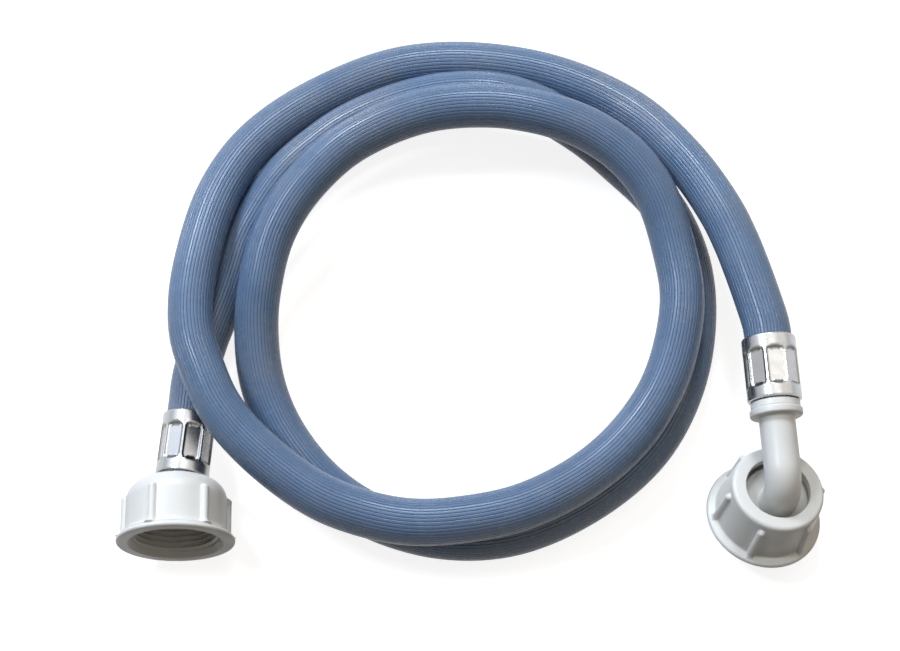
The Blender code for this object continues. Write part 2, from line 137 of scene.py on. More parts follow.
def placing(at, along, top, turn=0.0):
    """A matrix that puts local +Z along a direction, with local +Y as near to top as it can be."""
    up = (top - along * top.dot(along)).normalized()
    side = up.cross(along)
    turned_frame = Matrix((side, up, along)).transposed().to_4x4() @ Matrix.Rotation(turn, 4, "Z")
    return Matrix.Translation(at) @ turned_frame


def smooth_curve(points):
    """A centripetal Catmull-Rom curve from the second point to the last but one, as a polyline.

    The two outer points only give it its direction at its ends.
    """
    fine = []
    for first, second, third, fourth in zip(points, points[1:], points[2:], points[3:]):
        knots = [0.0]
        for here, there in ((first, second), (second, third), (third, fourth)):
            knots.append(knots[-1] + math.sqrt((there - here).length))
        for step in range(CURVE_STEPS):
            t = knots[1] + (knots[2] - knots[1]) * step / CURVE_STEPS
            a = first.lerp(second, t / knots[1])
            b = second.lerp(third, (t - knots[1]) / (knots[2] - knots[1]))
            c = third.lerp(fourth, (t - knots[2]) / (knots[3] - knots[2]))
            d = a.lerp(b, t / knots[2])
            e = b.lerp(c, (t - knots[1]) / (knots[3] - knots[1]))
            fine.append(d.lerp(e, (t - knots[1]) / (knots[2] - knots[1])))
    return [*fine, points[-2]]


def evenly_spaced(line, spacing):
    """Points at about a spacing along a polyline, the two ends among them."""
    marks = [0.0]
    for here, there in zip(line, line[1:]):
        marks.append(marks[-1] + (there - here).length)
    count = round(marks[-1] / spacing) + 1
    chosen = []
    span = 0
    for step in range(count):
        target = marks[-1] * step / (count - 1)
        while span < len(line) - 2 and marks[span + 1] < target:
            span += 1
        part = (target - marks[span]) / (marks[span + 1] - marks[span])
        chosen.append(line[span].lerp(line[span + 1], min(part, 1.0)))
    return chosen


def skin(name, rings, material, matrix=Matrix.Identity(4), ends_meet=True, rounds=1.0, sharp=40.0):
    """A mesh that joins each ring of points to the next, with a UV map along and round it.

    Its skin closes from the last ring to the first, or with a cap at each end. rounds is how far
    the UV map counts in one round.
    """
    around = len(rings[0])
    rows = len(rings)
    faces, places = [], []
    for row in range(rows if ends_meet else rows - 1):
        below = (row + 1) % rows
        for column in range(around):
            after = (column + 1) % around
            faces.append((row * around + column, row * around + after,
                          below * around + after, below * around + column))
            left, right = column / around * rounds, (column + 1) / around * rounds
            places += [(left, row), (right, row), (right, row + 1), (left, row + 1)]
    if not ends_meet:
        faces.append(tuple(range(around))[::-1])
        faces.append(tuple(range((rows - 1) * around, rows * around)))
        places += [(0.0, 0.0)] * (2 * around)
    mesh = bpy.data.meshes.new(name)
    mesh.from_pydata([matrix @ point for ring in rings for point in ring], [], faces)
    uv = mesh.uv_layers.new(name="along_and_round")
    uv.data.foreach_set("uv", [number for place in places for number in place])
    mesh.shade_smooth()
    mesh.set_sharp_from_angle(angle=math.radians(sharp))
    mesh.materials.append(material)
    made = bpy.data.objects.new(name, mesh)
    bpy.context.collection.objects.link(made)
    return made


def linear(hex_colour):
    """An sRGB hex colour as linear red, green, blue and alpha."""
    parts = [int(hex_colour[at:at + 2], 16) / 255 for at in (1, 3, 5)]
    return (*[p / 12.92 if p <= 0.04045 else ((p + 0.055) / 1.055) ** 2.4 for p in parts], 1.0)


def empty_material(name):
    """A material with no nodes yet."""
    made = bpy.data.materials.new(name)
    made.use_nodes = True
    made.node_tree.nodes.clear()
    return made


def add_node(material, kind, inputs, **settings):
    """Adds a node. An input given as (node, output) is linked, and any other is a value."""
    tree = material.node_tree
    node = tree.nodes.new(kind)
    for setting, value in settings.items():
        setattr(node, setting, value)
    for socket, value in inputs.items():
        if isinstance(value, tuple) and isinstance(value[0], bpy.types.Node):
            tree.links.new(value[0].outputs[value[1]], node.inputs[socket])
        else:
            node.inputs[socket].default_value = value
    return node


# Soft PVC, extruded: slate blue, with painted shade darkening the grooves between the flutes, greyed
# in patches and flecked by the dust it picks up, with a low gloss that breaks up along its fine
# grain. The mottling is about 11 mm across, and the dust lies as specks in patches of about 40 mm.
# The specks of 1.6 mm and the grain of 0.7 mm are coarser than the real ones, so that they show.
PVC_BLUE = "#4A6486"
PVC_PALE = "#5D7897"
PVC_GROOVE_SHADE = "#2B2E36"
PVC_DUST = "#8A8780"
MOTTLE_PER_METRE = 90.0
DUST_PER_METRE = 24.0
FLECKS_PER_METRE = 620.0
GRAIN_PER_METRE = 1400.0

pvc = empty_material("extruded_soft_pvc")
pvc_place = add_node(pvc, "ShaderNodeTexCoord", {})
pvc_mottle = add_node(pvc, "ShaderNodeTexNoise", {
    "Vector": (pvc_place, "Object"), "Scale": MOTTLE_PER_METRE, "Detail": 4.0, "Roughness": 0.6})
pvc_tint = add_node(pvc, "ShaderNodeMixRGB", {
    "Fac": (pvc_mottle, "Fac"), "Color1": linear(PVC_BLUE), "Color2": linear(PVC_PALE)})
pvc_uv = add_node(pvc, "ShaderNodeSeparateXYZ", {"Vector": (pvc_place, "UV")})
pvc_across = add_node(pvc, "ShaderNodeMath", {0: (pvc_uv, "X"), 1: 0.5}, operation="PINGPONG")
# Painted shade: the grooves between the flutes are darkened, most at each groove's bottom.
pvc_groove_shade = add_node(pvc, "ShaderNodeMapRange", {
    "Value": (pvc_across, "Value"), "From Min": 0.02, "From Max": 0.16, "To Min": 0.6, "To Max": 0.0})
pvc_patches = add_node(pvc, "ShaderNodeTexNoise", {
    "Vector": (pvc_place, "Object"), "Scale": DUST_PER_METRE, "Detail": 5.0, "Roughness": 0.65})
pvc_film = add_node(pvc, "ShaderNodeMapRange", {
    "Value": (pvc_patches, "Fac"), "From Min": 0.46, "From Max": 0.64, "To Min": 0.04, "To Max": 0.60})
pvc_speckle = add_node(pvc, "ShaderNodeTexNoise", {
    "Vector": (pvc_place, "Object"), "Scale": FLECKS_PER_METRE, "Detail": 2.0})
pvc_flecks = add_node(pvc, "ShaderNodeMapRange", {
    "Value": (pvc_speckle, "Fac"), "From Min": 0.60, "From Max": 0.70, "To Min": 0.0, "To Max": 1.0})
pvc_dust = add_node(pvc, "ShaderNodeMath", {
    0: (pvc_flecks, "Result"), 1: 0.9, 2: 0.35}, operation="MULTIPLY_ADD")
pvc_dusting = add_node(pvc, "ShaderNodeMath", {
    0: (pvc_dust, "Value"), 1: (pvc_film, "Result")}, operation="MULTIPLY")
pvc_dusted = add_node(pvc, "ShaderNodeMixRGB", {
    "Fac": (pvc_dusting, "Value"), "Color1": (pvc_tint, "Color"), "Color2": linear(PVC_DUST)})
# The painted groove shade goes on last, over the dusted colour.
pvc_colour = add_node(pvc, "ShaderNodeMixRGB", {
    "Fac": (pvc_groove_shade, "Result"), "Color1": (pvc_dusted, "Color"), "Color2": linear(PVC_GROOVE_SHADE)})
pvc_grain = add_node(pvc, "ShaderNodeTexNoise", {
    "Vector": (pvc_place, "Object"), "Scale": GRAIN_PER_METRE, "Detail": 2.0})
pvc_sheen = add_node(pvc, "ShaderNodeMapRange", {
    "Value": (pvc_mottle, "Fac"), "From Min": 0.3, "From Max": 0.7, "To Min": 0.23, "To Max": 0.31})
pvc_bump = add_node(pvc, "ShaderNodeBump", {
    "Height": (pvc_grain, "Fac"), "Strength": 0.25, "Distance": 0.0001})
pvc_surface = add_node(pvc, "ShaderNodeBsdfPrincipled", {
    "Base Color": (pvc_colour, "Color"), "Roughness": (pvc_sheen, "Result"), "Specular IOR Level": 0.40,
    "Normal": (pvc_bump, "Normal")})
add_node(pvc, "ShaderNodeOutputMaterial", {"Surface": (pvc_surface, "BSDF")})

elbow_way = heading(ELBOW_YAW, ELBOW_RISE)
elbow_top = Matrix.Rotation(ELBOW_ROLL, 3, elbow_way) @ Vector((0.0, 0.0, 1.0))
elbow_end = placing(ELBOW_RIM, elbow_way, elbow_top)
straight_end = placing(STRAIGHT_RIM, heading(STRAIGHT_YAW, STRAIGHT_RISE), Vector((0.0, 0.0, 1.0)))


def lead(end):
    """Where the hose ends inside a ferrule, and where it leaves the ferrule's line."""
    return [end @ Vector((0.0, 0.0, z)) for z in (HOSE_IN_FERRULE, -HOSE_LEAD)]


def eased(share):
    """0 to 1, with a soft start and end."""
    share = min(max(share, 0.0), 1.0)
    return share * share * (3.0 - 2.0 * share)


def bend_narrowing(line):
    """How wide the hose stays between its two sides at each point, less in a tighter bend."""
    reach = round(NARROWING_REACH / RING_SPACING)
    bends = [0.0] * len(line)
    for at in range(BEND_SPAN, len(line) - BEND_SPAN):
        back, here, front = line[at - BEND_SPAN], line[at], line[at + BEND_SPAN]
        turned = (here - back).xy.angle((front - here).xy)
        bends[at] = turned / ((front - back).length / 2)
    widths = [1.0 - NARROWING_PER_BEND * max(bend - 1 / FREE_BEND_RADIUS, 0.0) for bend in bends]
    smoothed = []
    for at in range(len(line)):
        near = widths[max(at - reach, 0):at + reach + 1]
        smoothed.append(sum(near) / len(near))
    return smoothed


hose_through = lead(elbow_end) + [Vector(point) + COIL_CENTRE for point in ROUTE] + lead(straight_end)[::-1]
hose_curve = [hose_through[0], *smooth_curve(hose_through), hose_through[-1]]
hose_line = evenly_spaced(hose_curve, RING_SPACING)
for point in hose_line:
    point.z = max(point.z, HOSE_DIAMETER / 2)

# The coil turns to the left all the way, so the side that draws in is the left one.
hose_rings = []
for at, (point, width) in enumerate(zip(hose_line, bend_narrowing(hose_line))):
    along = (hose_line[min(at + 1, len(hose_line) - 1)] - hose_line[max(at - 1, 0)]).normalized()
    side = along.cross(Vector((0.0, 0.0, 1.0))).normalized()
    up = side.cross(along)
    outwards = (1.0 - width) * HOSE_DIAMETER / 2
    for place, away, reach in SETTLED:
        outwards += away * eased(1.0 - abs(at * RING_SPACING - place) / reach)
    middle = point + side * outwards
    ring = []
    for flute in range(FLUTES):
        for share, depth in FLUTE_SHAPE:
            angle = 2 * math.pi * (flute + share) / FLUTES
            radius = HOSE_DIAMETER / 2 - depth
            across = side * (width * radius * math.cos(angle))
            ring.append(middle + across + up * (radius * math.sin(angle)))
    hose_rings.append(ring)

hose = skin("fluted_hose", hose_rings, pvc, ends_meet=False, rounds=FLUTES, sharp=80.0)
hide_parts("hose")
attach(hose, "hose_assembly")

# Crimped ferrules
# A thin steel shell, zinc plated and bright, that a press with eight jaws squeezes onto the hose.
# Each jaw leaves a flat with round ends, and narrow lands stand between the flats.
TOUCH_GAP = 0.0003
SHARP_EDGE = 0.0002
EDGE_STEPS = 6
FERRULE_WALL = 0.0008
FERRULE_LENGTH = 0.0205
FERRULE_SHOULDER = 0.0010
FERRULE_EDGE = 0.0007
FERRULE_INNER = HOSE_DIAMETER / 2 + TOUCH_GAP
FERRULE_MOUTH = 0.0040
FERRULE_GRIP = 0.0004
CRIMPS = 8
CRIMP_WIDTH = 0.0061
CRIMP_LENGTH = 0.0134
CRIMP_FROM_RIM = 0.0037
CRIMP_CORNER = 0.0024
CRIMP_SIDE_SLOPE = 0.0005
CRIMP_END_SLOPE = 0.0020
CRIMP_DEPTH = 0.00095
CRIMP_ROWS = 70
FERRULE_COLUMNS = 24 * CRIMPS
SPIGOT_DIAMETER = 0.0104
STRAIGHT_FERRULE_TURN = math.pi / CRIMPS

# Zinc plate: a bright, slightly blue metal, wiped smooth, with short hair scratches. The sloping
# walls round each crimp are painted dark, as painted shade. Its clouds are about 3 mm across, and
# the scratches 6 mm long and 0.4 mm wide, which is coarser than the real ones, so that they show.
ZINC = "#B6B7B8"
ZINC_DULL = "#9EA0A2"
ZINC_CRIMP_SHADE = "#64625E"
ZINC_CLOUDS_PER_METRE = 350.0
ZINC_HAIRS_PER_METRE = (2500.0, 160.0, 2500.0)

zinc = empty_material("bright_zinc_plate")
zinc_place = add_node(zinc, "ShaderNodeTexCoord", {})
zinc_cloud = add_node(zinc, "ShaderNodeTexNoise", {
    "Vector": (zinc_place, "Object"), "Scale": ZINC_CLOUDS_PER_METRE, "Detail": 5.0, "Roughness": 0.6})
zinc_colour = add_node(zinc, "ShaderNodeMixRGB", {
    "Fac": (zinc_cloud, "Fac"), "Color1": linear(ZINC), "Color2": linear(ZINC_DULL)})
# Painted shade: a mask of the crimps' sloping walls, kept on the ferrule's mesh, darkens the zinc there.
zinc_crimp_shade_mask = add_node(zinc, "ShaderNodeAttribute", {}, attribute_name="jaw_bite")
zinc_crimp_shaded = add_node(zinc, "ShaderNodeMixRGB", {
    "Fac": (zinc_crimp_shade_mask, "Fac"), "Color1": (zinc_colour, "Color"), "Color2": linear(ZINC_CRIMP_SHADE)})
zinc_stretch = add_node(zinc, "ShaderNodeMapping", {
    "Vector": (zinc_place, "Object"), "Scale": ZINC_HAIRS_PER_METRE})
zinc_hairs = add_node(zinc, "ShaderNodeTexNoise", {
    "Vector": (zinc_stretch, "Vector"), "Scale": 1.0, "Detail": 3.0})
zinc_gloss = add_node(zinc, "ShaderNodeMapRange", {
    "Value": (zinc_cloud, "Fac"), "From Min": 0.3, "From Max": 0.7, "To Min": 0.22, "To Max": 0.34})
zinc_bump = add_node(zinc, "ShaderNodeBump", {
    "Height": (zinc_hairs, "Fac"), "Strength": 0.12, "Distance": 0.00005})
zinc_surface = add_node(zinc, "ShaderNodeBsdfPrincipled", {
    "Base Color": (zinc_crimp_shaded, "Color"), "Metallic": 1.0, "Roughness": (zinc_gloss, "Result"),
    "Normal": (zinc_bump, "Normal")})
add_node(zinc, "ShaderNodeOutputMaterial", {"Surface": (zinc_surface, "BSDF")})


def rounded_edge(distance, radius, size, start):
    """A quarter of a circle in a profile, whose corner lies at (distance, radius).

    start is "face" for an edge met from a flat face that points back, and "side" for one met
    from the outer side that leads to a face that points forward.
    """
    points = []
    for step in range(EDGE_STEPS + 1):
        angle = step / EDGE_STEPS * math.pi / 2
        in_from_corner = size * (1 - math.sin(angle))
        along = in_from_corner if start == "face" else -in_from_corner
        points.append((distance + along, radius - size * (1 - math.cos(angle))))
    return points[::-1] if start == "face" else points


def turned(profile, sides, axis=None):
    """The rings of a turned piece, from the distances and radii of its profile along an axis."""
    angles = [2 * math.pi * step / sides for step in range(sides)]
    rings = []
    for distance, radius in profile:
        at = axis(distance) if axis else Matrix.Translation((0.0, 0.0, distance))
        rings.append([at @ Vector((radius * math.cos(a), radius * math.sin(a), 0.0)) for a in angles])
    return rings


def jaw_mark(distance, angle, radius):
    """How fully a jaw has pressed a place on the ferrule: 1 on a flat, 0 on the lands and rims."""
    pitch = 2 * math.pi / CRIMPS
    across = abs((angle + pitch / 2) % pitch - pitch / 2) * radius
    half_length = CRIMP_LENGTH / 2
    from_middle = abs(distance - CRIMP_FROM_RIM - half_length)
    beside = across - (CRIMP_WIDTH / 2 - CRIMP_CORNER)
    beyond = from_middle - (half_length - CRIMP_CORNER)
    if beside > 0.0 and beyond > 0.0:
        inside = CRIMP_CORNER - math.hypot(beside, beyond)
    else:
        inside = CRIMP_CORNER - max(beside, beyond)
    towards_end = beyond > 0.0 and beyond > beside
    slope = CRIMP_END_SLOPE if towards_end else CRIMP_SIDE_SLOPE
    return eased(inside / slope)


def crimped_radius(angle, radius, pressed):
    """The ferrule's radius at a place that a jaw has pressed in part or fully."""
    pitch = 2 * math.pi / CRIMPS
    from_flat = (angle + pitch / 2) % pitch - pitch / 2
    flat = (radius - CRIMP_DEPTH) / math.cos(from_flat)
    return radius - max(radius - flat, 0.0) * pressed


ferrule_outer = FERRULE_INNER + FERRULE_WALL
ferrule_hole = SPIGOT_DIAMETER / 2 + TOUCH_GAP
crimped_length = FERRULE_LENGTH - 2 * FERRULE_EDGE
crimp_rows = [FERRULE_EDGE + crimped_length * row / CRIMP_ROWS for row in range(1, CRIMP_ROWS)]
ferrule_rings = turned(rounded_edge(0.0, ferrule_outer, FERRULE_EDGE, "face"), FERRULE_COLUMNS)
painted_crimp_shades = [0.0] * (FERRULE_COLUMNS * len(ferrule_rings))
for distance in crimp_rows:
    ring = []
    for column in range(FERRULE_COLUMNS):
        angle = 2 * math.pi * column / FERRULE_COLUMNS
        pressed = jaw_mark(distance, angle, ferrule_outer)
        reach = crimped_radius(angle, ferrule_outer, pressed)
        ring.append(Vector((reach * math.cos(angle), reach * math.sin(angle), distance)))
        # Painted shade: the half pressed places, the sloping walls round each flat, are marked most for
        # darkening.
        painted_crimp_shades.append(4 * pressed * (1 - pressed))
    ferrule_rings.append(ring)
ferrule_rings += turned(
    rounded_edge(FERRULE_LENGTH, ferrule_outer, FERRULE_EDGE, "side")
    + [(FERRULE_LENGTH, ferrule_hole), (FERRULE_LENGTH - FERRULE_SHOULDER, ferrule_hole),
       (FERRULE_MOUTH, FERRULE_INNER - FERRULE_GRIP), (FERRULE_MOUTH / 2, FERRULE_INNER),
       (SHARP_EDGE, FERRULE_INNER)],
    FERRULE_COLUMNS)
painted_crimp_shades += [0.0] * (FERRULE_COLUMNS * len(ferrule_rings) - len(painted_crimp_shades))

straight_shell = straight_end @ Matrix.Rotation(STRAIGHT_FERRULE_TURN, 4, "Z")
for name, shell in (("elbow_ferrule", elbow_end), ("straight_ferrule", straight_shell)):
    ferrule = skin(f"crimped_{name}", ferrule_rings, zinc, shell)
    # The mask of painted crimp shade goes on each ferrule as a point attribute.
    ferrule.data.attributes.new("jaw_bite", "FLOAT", "POINT").data.foreach_set("value", painted_crimp_shades)
    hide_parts(name)
    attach(ferrule, "hose_assembly")

# Elbow tail
# A moulding in pale grey nylon: a ring and a collar against the ferrule, a smooth tube that turns
# square, and a round flange that the union nut pulls onto its washer.
TAIL_BORE = 0.0084
FLANGE_DIAMETER = 0.0228
FLANGE_THICKNESS = 0.0024
EDGE_ROUND = 0.0005
SMALL_ROUND = 0.0003
SPIGOT_REACH = FERRULE_SHOULDER + TOUCH_GAP
RING_DIAMETER = 0.0154
RING_LENGTH = 0.0022
COLLAR_DIAMETER = 0.0165
COLLAR_LENGTH = 0.0025
COLLAR_BACK_ROUND = 0.0006
COLLAR_FRONT_ROUND = 0.0007
COLLAR_FILLET = 0.0008
FLANGE_FILLET = 0.0006
FILLET_STEPS = 5
TUBE_DIAMETER = 0.0113
TUBE_RUN = 0.0241
TUBE_LEG = 0.0126
BEND_RADIUS = 0.0085
BEND_STEPS = 28
TAIL_SIDES = 128

# Nylon, injection moulded: pale warm grey with a satin skin, faint flow clouds of about 8 mm and a
# tool grain of 0.5 mm, which is coarser than the real one, so that it shows.
NYLON = "#E3E4E1"
NYLON_WARM = "#D8D7D1"
NYLON_CLOUDS_PER_METRE = 120.0
NYLON_GRAIN_PER_METRE = 2200.0

nylon = empty_material("moulded_nylon")
nylon_place = add_node(nylon, "ShaderNodeTexCoord", {})
nylon_cloud = add_node(nylon, "ShaderNodeTexNoise", {
    "Vector": (nylon_place, "Object"), "Scale": NYLON_CLOUDS_PER_METRE, "Detail": 4.0,
    "Roughness": 0.55})
nylon_colour = add_node(nylon, "ShaderNodeMixRGB", {
    "Fac": (nylon_cloud, "Fac"), "Color1": linear(NYLON), "Color2": linear(NYLON_WARM)})
nylon_gloss = add_node(nylon, "ShaderNodeMapRange", {
    "Value": (nylon_cloud, "Fac"), "From Min": 0.3, "From Max": 0.7, "To Min": 0.34, "To Max": 0.44})
nylon_grain = add_node(nylon, "ShaderNodeTexNoise", {
    "Vector": (nylon_place, "Object"), "Scale": NYLON_GRAIN_PER_METRE, "Detail": 2.0})
nylon_bump = add_node(nylon, "ShaderNodeBump", {
    "Height": (nylon_grain, "Fac"), "Strength": 0.12, "Distance": 0.00005})
nylon_surface = add_node(nylon, "ShaderNodeBsdfPrincipled", {
    "Base Color": (nylon_colour, "Color"), "Roughness": (nylon_gloss, "Result"), "IOR": 1.53,
    "Subsurface Weight": 0.05, "Subsurface Radius": (0.002, 0.002, 0.002),
    "Normal": (nylon_bump, "Normal")})
add_node(nylon, "ShaderNodeOutputMaterial", {"Surface": (nylon_surface, "BSDF")})

BEND_FROM = FERRULE_LENGTH + TOUCH_GAP + RING_LENGTH + COLLAR_LENGTH + TUBE_RUN - BEND_RADIUS


def bent_axis(distance):
    """The place on an axis that runs along +Z and then turns square, towards local -Y."""
    arc = BEND_RADIUS * math.pi / 2
    into = min(max(distance - BEND_FROM, 0.0), arc)
    straight = distance - BEND_FROM - into
    to_pivot = Matrix.Translation((0.0, -BEND_RADIUS, BEND_FROM))
    swing = Matrix.Rotation(into / BEND_RADIUS, 4, "X")
    return to_pivot @ swing @ Matrix.Translation((0.0, BEND_RADIUS, straight))


def flange_profile(start):
    """The round flange that the nut pulls on, from its back to the bore."""
    end = start + FLANGE_THICKNESS
    rim = FLANGE_DIAMETER / 2
    back_edge = rounded_edge(start, rim, EDGE_ROUND, "face")
    front_edge = rounded_edge(end, rim, EDGE_ROUND, "side")
    return [*back_edge, *front_edge, (end, TAIL_BORE / 2)]


def fillet(distance, radius, size):
    """The hollow corner from a tube's side out to the back of what it carries."""
    angles = [step / FILLET_STEPS * math.pi / 2 for step in range(FILLET_STEPS + 1)]
    return [(distance - size * (1 - math.sin(a)), radius + size * (1 - math.cos(a))) for a in angles]


ring_at = FERRULE_LENGTH + TOUCH_GAP
collar_at = ring_at + RING_LENGTH
tube_at = collar_at + COLLAR_LENGTH
elbow_flange_at = BEND_FROM + BEND_RADIUS * math.pi / 2 + TUBE_LEG - BEND_RADIUS
bend_places = [BEND_FROM + BEND_RADIUS * math.pi / 2 * step / BEND_STEPS for step in range(BEND_STEPS + 1)]
collar_foot = fillet(tube_at, TUBE_DIAMETER / 2, COLLAR_FILLET)
spigot = [(ring_at - SPIGOT_REACH, TAIL_BORE / 2), (ring_at - SPIGOT_REACH, SPIGOT_DIAMETER / 2),
          (ring_at, SPIGOT_DIAMETER / 2)]
elbow_profile = spigot + rounded_edge(ring_at, RING_DIAMETER / 2, SMALL_ROUND, "face")
elbow_profile += [(collar_at - SHARP_EDGE, RING_DIAMETER / 2), (collar_at, RING_DIAMETER / 2 - SHARP_EDGE)]
elbow_profile += rounded_edge(collar_at, COLLAR_DIAMETER / 2, COLLAR_BACK_ROUND, "face")
elbow_profile += rounded_edge(tube_at, COLLAR_DIAMETER / 2, COLLAR_FRONT_ROUND, "side")
elbow_profile += [(2 * tube_at - z, r) for z, r in reversed(collar_foot)]
elbow_profile += [(z, TUBE_DIAMETER / 2) for z in bend_places]
elbow_profile += fillet(elbow_flange_at, TUBE_DIAMETER / 2, FLANGE_FILLET)
elbow_profile += flange_profile(elbow_flange_at)
elbow_profile += [(z, TAIL_BORE / 2) for z in reversed(bend_places)]

elbow_tail = skin("moulded_elbow_tail", turned(elbow_profile, TAIL_SIDES, bent_axis), nylon, elbow_end)
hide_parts("elbow_tail")
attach(elbow_tail, "hose_assembly")

# Straight tail
# The same nylon moulding without the bend: a short neck, and the flange that seals. The crimped
# ferrule holds it in the hose, and its nut hides most of it.
NECK_DIAMETER = 0.0124
NECK_LENGTH = 0.0064

straight_flange_at = ring_at + NECK_LENGTH
straight_profile = spigot + rounded_edge(ring_at, NECK_DIAMETER / 2, SMALL_ROUND, "face")
straight_profile += fillet(straight_flange_at, NECK_DIAMETER / 2, FLANGE_FILLET)
straight_profile += flange_profile(straight_flange_at)

straight_tail = skin("moulded_straight_tail", turned(straight_profile, TAIL_SIDES), nylon, straight_end)
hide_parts("straight_tail")
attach(straight_tail, "hose_assembly")

# Sealing washers
# A flat ring punched from black rubber sheet. It lies loose against each flange inside the nut, and
# seals once the nut is screwed down.
WASHER_THICKNESS = 0.0028
WASHER_HOLE = 0.0130
WASHER_SIDES = 96

# Rubber sheet, pressed: dull black with a grey bloom in clouds of about 2.5 mm.
RUBBER = "#26282A"
RUBBER_BLOOM = "#3A3B3C"
RUBBER_BLOOM_PER_METRE = 400.0

rubber = empty_material("pressed_rubber_sheet")
rubber_place = add_node(rubber, "ShaderNodeTexCoord", {})
rubber_bloom = add_node(rubber, "ShaderNodeTexNoise", {
    "Vector": (rubber_place, "Object"), "Scale": RUBBER_BLOOM_PER_METRE, "Detail": 5.0})
rubber_colour = add_node(rubber, "ShaderNodeMixRGB", {
    "Fac": (rubber_bloom, "Fac"), "Color1": linear(RUBBER), "Color2": linear(RUBBER_BLOOM)})
rubber_bump = add_node(rubber, "ShaderNodeBump", {
    "Height": (rubber_bloom, "Fac"), "Strength": 0.3, "Distance": 0.0001})
rubber_surface = add_node(rubber, "ShaderNodeBsdfPrincipled", {
    "Base Color": (rubber_colour, "Color"), "Roughness": 0.7, "Normal": (rubber_bump, "Normal")})
add_node(rubber, "ShaderNodeOutputMaterial", {"Surface": (rubber_surface, "BSDF")})

elbow_flange = elbow_end @ bent_axis(elbow_flange_at)
straight_flange = straight_end @ Matrix.Translation((0.0, 0.0, straight_flange_at))
washer_back = FLANGE_THICKNESS + TOUCH_GAP
washer_front = washer_back + WASHER_THICKNESS
washer_profile = [(washer_back, WASHER_HOLE / 2)]
washer_profile += rounded_edge(washer_back, FLANGE_DIAMETER / 2, SHARP_EDGE, "face")
washer_profile += rounded_edge(washer_front, FLANGE_DIAMETER / 2, SHARP_EDGE, "side")
washer_profile += [(washer_front, WASHER_HOLE / 2 + SHARP_EDGE),
                   (washer_front - SHARP_EDGE, WASHER_HOLE / 2)]

for name, flange in (("elbow_washer", elbow_flange), ("straight_washer", straight_flange)):
    washer = skin(f"rubber_{name}", turned(washer_profile, WASHER_SIDES), rubber, flange)
    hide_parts(name)
    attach(washer, "hose_assembly")

# Elbow's union nut
# Moulded nylon too: a flat back with a rounded rim and a wide hole, six ribs to grip, each with a
# ball at its top, a flared skirt, and a three-quarter inch pipe thread inside.
NUT_CAVITY = 0.0266
NUT_LIP = 0.0025
NUT_BODY = 0.0316
NUT_SKIRT = 0.0370
SKIRT_THICKNESS = 0.0018
LEDGE_FALL = 0.0004
SKIRT_BACK_ROUND = 0.0010
SKIRT_FRONT_ROUND = 0.0008
MOUTH_CHAMFER = 0.0016
THREAD_PITCH = 0.00181
THREAD_DEPTH = 0.0010
THREAD_RUN_IN = 0.0012
THREAD_FROM_LIP = 0.0024
THREAD_ROWS_PER_TURN = 9
THREAD_FULLNESS = 1.1
RIBS = 6
RIB_HALF_WIDTH = 0.00130
RIB_HEIGHT = 0.0014
RIB_FADE = 0.0006
RIB_COLUMNS = 44
FINE_COLUMNS = 26
# In shares of a rib's half width: how far the close columns reach, where the rib's foot ends and how
# softly. The foot's height is a share of the rib's.
FINE_REACH = 2.4
FOOT_REACH = 1.9
FOOT_BLEND = 1.1
FOOT_HEIGHT = 0.10
ELBOW_NUT_HEIGHT = 0.0190
ELBOW_NUT_HOLE = 0.0204
ELBOW_NUT_BACK = 0.0294
ELBOW_NUT_RIM_ROUND = 0.0014
ELBOW_NUT_RIB_START = 0.0027
ELBOW_NUT_TURN = math.radians(32.0)
ELBOW_NUT_KNEE = 0.0008
ELBOW_SIDE_ROWS = 56
KNEE_STEPS = 9
BALL_RADIUS = 0.0013
BALL_PROUD = 0.0001


def nut_angles():
    """Angles round a nut, close together on the ribs, and how far each lies from a rib's middle."""
    pitch = 2 * math.pi / RIBS
    edge = FINE_REACH * RIB_HALF_WIDTH / (NUT_BODY / 2)
    spare = RIB_COLUMNS - FINE_COLUMNS
    angles = []
    for rib in range(RIBS):
        on_rib = [edge * (2 * step / FINE_COLUMNS - 1) for step in range(FINE_COLUMNS)]
        between = [edge + (pitch - 2 * edge) * step / spare for step in range(spare)]
        angles += [(rib * pitch + away, away if away < pitch / 2 else away - pitch)
                   for away in on_rib + between]
    return angles


def rib_lift(distance, away, rib_start, rib_end):
    """How far a rib stands out at a distance down the nut and a length across the rib."""
    lift = 0.0
    across = abs(away)
    if distance >= rib_start + BALL_RADIUS:
        share = across / RIB_HALF_WIDTH
        rod = math.sqrt(max(1.0 - share * share, 0.0)) if share < 1.0 else 0.0
        foot = FOOT_HEIGHT * eased((FOOT_REACH - share) / FOOT_BLEND)
        fade = 1.0 - eased((distance - rib_end + RIB_FADE) / RIB_FADE)
        lift = RIB_HEIGHT * max(rod, foot) * fade
    from_ball = math.hypot(across, distance - rib_start - BALL_RADIUS) / BALL_RADIUS
    if from_ball < 1.0:
        lift = max(lift, (RIB_HEIGHT + BALL_PROUD) * math.sqrt(1.0 - from_ball ** 2))
    return lift


